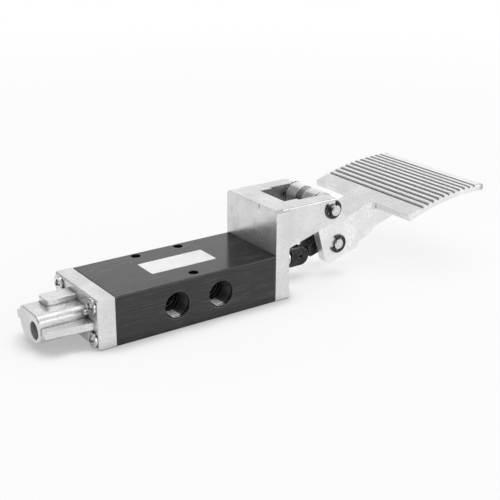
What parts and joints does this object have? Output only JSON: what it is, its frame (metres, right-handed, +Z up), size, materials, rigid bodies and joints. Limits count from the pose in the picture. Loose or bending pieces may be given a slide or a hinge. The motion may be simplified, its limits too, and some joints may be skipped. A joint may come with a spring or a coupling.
{
  "type": "foot pedal air valve",
  "caption": "Foot operated spool valve for compressed air: black ported body, cast rear cap, and a cast bracket whose ribbed treadle pushes the spool in through a link.",
  "frame": {"origin": "centre of the valve body's bottom face, where it stands on its mounting surface", "axes": "+X along the spool towards the pedal, +Y towards the side with the supply port, +Z up"},
  "size_m": [0.2245, 0.069, 0.0438],
  "materials": {
    "black_anodised": "black anodised, brushed lengthwise, satin",
    "cast_alloy": "die cast, fine blasted, satin",
    "pedal_alloy": "die cast, tread ribs rubbed bright",
    "plated_steel": "bright plated",
    "ground_steel": "turned and ground",
    "black_steel": "black oxide, oiled",
    "turned_aluminium": "fine turned, bright",
    "spring_steel": "drawn wire",
    "sintered_bronze": "sintered, oil filled",
    "gasket_rubber": "matt",
    "seal_rubber": "smooth, greased",
    "white_plastic": "moulded, matt"
  },
  "bodies": {
    "valve": {"valve_body": "black_anodised", "rear_gasket": "gasket_rubber", "rear_cap": "cast_alloy", "rear_cap_screws": "plated_steel", "front_gasket": "gasket_rubber", "pedal_bracket": "cast_alloy", "bracket_screws": "plated_steel", "rod_bush": "sintered_bronze", "rod_seal": "seal_rubber", "return_spring": "spring_steel", "pivot_pin": "ground_steel", "pivot_clips": "black_steel", "hub_washers": "plated_steel"},
    "spool_group": {"spool": "turned_aluminium", "spool_seals": "seal_rubber", "spring_seat": "white_plastic", "spool_clevis": "black_steel", "spool_pin": "ground_steel"},
    "link_group": {"link": "black_steel"},
    "pedal_group": {"pedal": "pedal_alloy", "hub_spacer": "spring_steel", "link_pin": "ground_steel", "link_washers": "black_steel", "link_clips": "black_steel"}
  },
  "joints": [
    {"name": "pedal_hinge", "type": "hinge", "parent": "valve", "child": "pedal_group", "pos_m": [0.073, 0, 0.0378], "axis": [0, 1, 0], "range_deg": [0, 13], "stiffness_Nm_per_rad": 1.25, "springref_deg": -11.46},
    {"name": "spool_slide", "type": "slide", "parent": "valve", "child": "spool_group", "axis": [1, 0, 0], "range_m": [-0.0057, 0], "deforming": ["return_spring"]},
    {"name": "link_hinge", "type": "hinge", "parent": "spool_group", "child": "link_group", "pos_m": [0.0674, 0, 0.011], "axis": [0, 1, 0], "range_deg": [0, 7]}
  ],
  "couplings": [
    {"joint": "spool_slide", "follows": "pedal_hinge", "m_per_rad": -0.024964},
    {"joint": "link_hinge", "follows": "pedal_hinge", "ratio": 0.5384}
  ]
}
